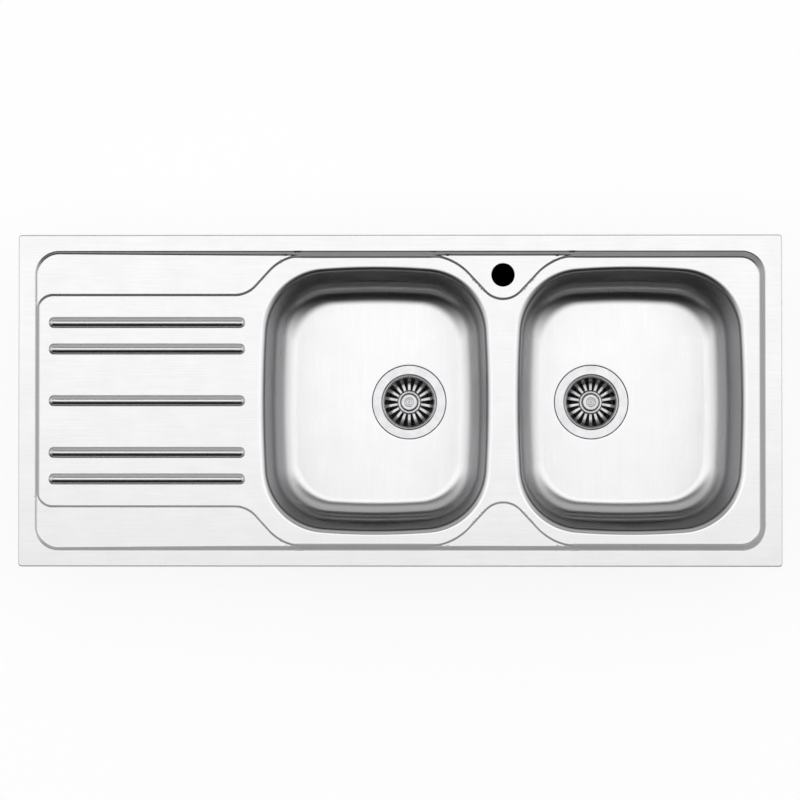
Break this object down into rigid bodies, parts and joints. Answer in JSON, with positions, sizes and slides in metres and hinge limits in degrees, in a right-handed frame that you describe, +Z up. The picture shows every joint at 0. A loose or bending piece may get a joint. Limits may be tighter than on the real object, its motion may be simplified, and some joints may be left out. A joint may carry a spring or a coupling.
{
  "type": "kitchen sink",
  "caption": "Inset stainless-steel kitchen sink with a ribbed drainer, two deep rounded bowls with basket strainer wastes, a tap ledge and worktop clips.",
  "frame": {"origin": "centre of the worktop cut-out, level with the top of the worktop that the rim rests on", "axes": "+X along the sink from the drainer to the bowls, +Y to the tap side, +Z up"},
  "size_m": [1.15, 0.5, 0.2705],
  "materials": {
    "brushed_steel": "fine brushed",
    "polished_steel": "polished",
    "zinc_steel": "zinc plated",
    "black_rubber": "matte",
    "grey_foam": "matte",
    "white_plastic": "satin",
    "grey_pad": "matte"
  },
  "bodies": {
    "sink": {"deck": "brushed_steel", "rim_seal_back": "grey_foam", "rim_seal_front": "grey_foam", "rim_seal_left": "grey_foam", "rim_seal_right": "grey_foam", "bowl_left": "brushed_steel", "sound_pad_left": "grey_pad", "flange_gasket_left": "black_rubber", "waste_flange_left": "polished_steel", "body_gasket_left": "black_rubber", "waste_body_left": "white_plastic", "waste_screw_left": "zinc_steel", "bowl_right": "brushed_steel", "sound_pad_right": "grey_pad", "flange_gasket_right": "black_rubber", "waste_flange_right": "polished_steel", "body_gasket_right": "black_rubber", "waste_body_right": "white_plastic", "waste_screw_right": "zinc_steel", "clip_stud_1": "zinc_steel", "clip_stud_2": "zinc_steel", "clip_stud_3": "zinc_steel", "clip_stud_4": "zinc_steel", "clip_stud_5": "zinc_steel", "clip_stud_6": "zinc_steel", "clip_stud_7": "zinc_steel", "clip_stud_8": "zinc_steel"},
    "strainer_left": {"strainer_basket_left": "polished_steel"},
    "plug_left": {"plug_stem_left": "polished_steel", "plug_seal_left": "black_rubber"},
    "strainer_right": {"strainer_basket_right": "polished_steel"},
    "plug_right": {"plug_stem_right": "polished_steel", "plug_seal_right": "black_rubber"},
    "clip_nut_1": {"clip_nut_1": "zinc_steel"},
    "clip_arm_1": {"clip_arm_1": "zinc_steel"},
    "clip_nut_2": {"clip_nut_2": "zinc_steel"},
    "clip_arm_2": {"clip_arm_2": "zinc_steel"},
    "clip_nut_3": {"clip_nut_3": "zinc_steel"},
    "clip_arm_3": {"clip_arm_3": "zinc_steel"},
    "clip_nut_4": {"clip_nut_4": "zinc_steel"},
    "clip_arm_4": {"clip_arm_4": "zinc_steel"},
    "clip_nut_5": {"clip_nut_5": "zinc_steel"},
    "clip_arm_5": {"clip_arm_5": "zinc_steel"},
    "clip_nut_6": {"clip_nut_6": "zinc_steel"},
    "clip_arm_6": {"clip_arm_6": "zinc_steel"},
    "clip_nut_7": {"clip_nut_7": "zinc_steel"},
    "clip_arm_7": {"clip_arm_7": "zinc_steel"},
    "clip_nut_8": {"clip_nut_8": "zinc_steel"},
    "clip_arm_8": {"clip_arm_8": "zinc_steel"}
  },
  "joints": [
    {"name": "strainer_left_lift_out", "type": "slide", "parent": "sink", "child": "strainer_left", "axis": [0, 0, 1], "range_m": [0, 0.215]},
    {"name": "plug_left_knob", "type": "slide", "parent": "strainer_left", "child": "plug_left", "axis": [0, 0, 1], "range_m": [0, 0.006]},
    {"name": "strainer_right_lift_out", "type": "slide", "parent": "sink", "child": "strainer_right", "axis": [0, 0, 1], "range_m": [0, 0.215]},
    {"name": "plug_right_knob", "type": "slide", "parent": "strainer_right", "child": "plug_right", "axis": [0, 0, 1], "range_m": [0, 0.006]},
    {"name": "clip_1_clamp", "type": "slide", "parent": "sink", "child": "clip_nut_1", "axis": [0, 0, 1], "range_m": [-0.015, 0.012]},
    {"name": "clip_1_swing", "type": "hinge", "parent": "clip_nut_1", "child": "clip_arm_1", "pos_m": [-0.4, 0.231, -0.038], "axis": [0, 0, 1], "range_deg": [0, 90]},
    {"name": "clip_2_clamp", "type": "slide", "parent": "sink", "child": "clip_nut_2", "axis": [0, 0, 1], "range_m": [-0.015, 0.012]},
    {"name": "clip_2_swing", "type": "hinge", "parent": "clip_nut_2", "child": "clip_arm_2", "pos_m": [0.1555, 0.231, -0.038], "axis": [0, 0, 1], "range_deg": [0, 90]},
    {"name": "clip_3_clamp", "type": "slide", "parent": "sink", "child": "clip_nut_3", "axis": [0, 0, 1], "range_m": [-0.015, 0.012]},
    {"name": "clip_3_swing", "type": "hinge", "parent": "clip_nut_3", "child": "clip_arm_3", "pos_m": [0.478, 0.231, -0.038], "axis": [0, 0, 1], "range_deg": [0, 90]},
    {"name": "clip_4_clamp", "type": "slide", "parent": "sink", "child": "clip_nut_4", "axis": [0, 0, 1], "range_m": [-0.015, 0.012]},
    {"name": "clip_4_swing", "type": "hinge", "parent": "clip_nut_4", "child": "clip_arm_4", "pos_m": [-0.4, -0.231, -0.038], "axis": [0, 0, 1], "range_deg": [0, 90]},
    {"name": "clip_5_clamp", "type": "slide", "parent": "sink", "child": "clip_nut_5", "axis": [0, 0, 1], "range_m": [-0.015, 0.012]},
    {"name": "clip_5_swing", "type": "hinge", "parent": "clip_nut_5", "child": "clip_arm_5", "pos_m": [0.1555, -0.231, -0.038], "axis": [0, 0, 1], "range_deg": [0, 90]},
    {"name": "clip_6_clamp", "type": "slide", "parent": "sink", "child": "clip_nut_6", "axis": [0, 0, 1], "range_m": [-0.015, 0.012]},
    {"name": "clip_6_swing", "type": "hinge", "parent": "clip_nut_6", "child": "clip_arm_6", "pos_m": [0.478, -0.231, -0.038], "axis": [0, 0, 1], "range_deg": [0, 90]},
    {"name": "clip_7_clamp", "type": "slide", "parent": "sink", "child": "clip_nut_7", "axis": [0, 0, 1], "range_m": [-0.015, 0.012]},
    {"name": "clip_7_swing", "type": "hinge", "parent": "clip_nut_7", "child": "clip_arm_7", "pos_m": [-0.556, 0, -0.038], "axis": [0, 0, 1], "range_deg": [0, 90]},
    {"name": "clip_8_clamp", "type": "slide", "parent": "sink", "child": "clip_nut_8", "axis": [0, 0, 1], "range_m": [-0.015, 0.012]},
    {"name": "clip_8_swing", "type": "hinge", "parent": "clip_nut_8", "child": "clip_arm_8", "pos_m": [0.556, 0, -0.038], "axis": [0, 0, 1], "range_deg": [0, 90]}
  ]
}
